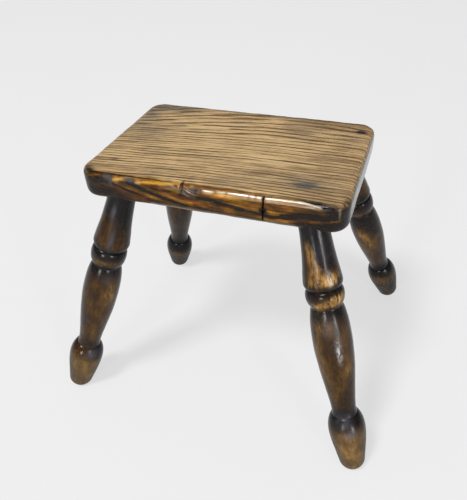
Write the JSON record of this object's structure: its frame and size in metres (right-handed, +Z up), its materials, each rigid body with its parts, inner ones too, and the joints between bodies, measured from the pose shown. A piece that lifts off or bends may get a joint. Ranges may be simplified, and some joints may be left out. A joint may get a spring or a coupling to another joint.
{
  "type": "fireside stool",
  "caption": "Small low stool: a thick rounded plank seat on splayed, baluster-turned wooden legs glued into blind bored holes.",
  "frame": {"origin": "on the floor under the middle of the stool, centre of the bounding box's base", "axes": "+X along the long side of the seat and its grain, +Y to the back, +Z up through the seat"},
  "size_m": [0.4157, 0.3474, 0.316],
  "materials": {
    "seat_wood": "old waxed coarse-grained plank, tan on the worn top, dark amber with near-black grain on the edges",
    "leg_wood": "dark stained and polished turned wood, near black in the grooves and rubbed to amber on the high places"
  },
  "bodies": {
    "root": {"seat": "seat_wood", "front_left_leg": "leg_wood", "front_right_leg": "leg_wood", "back_left_leg": "leg_wood", "back_right_leg": "leg_wood"}
  },
  "joints": []
}
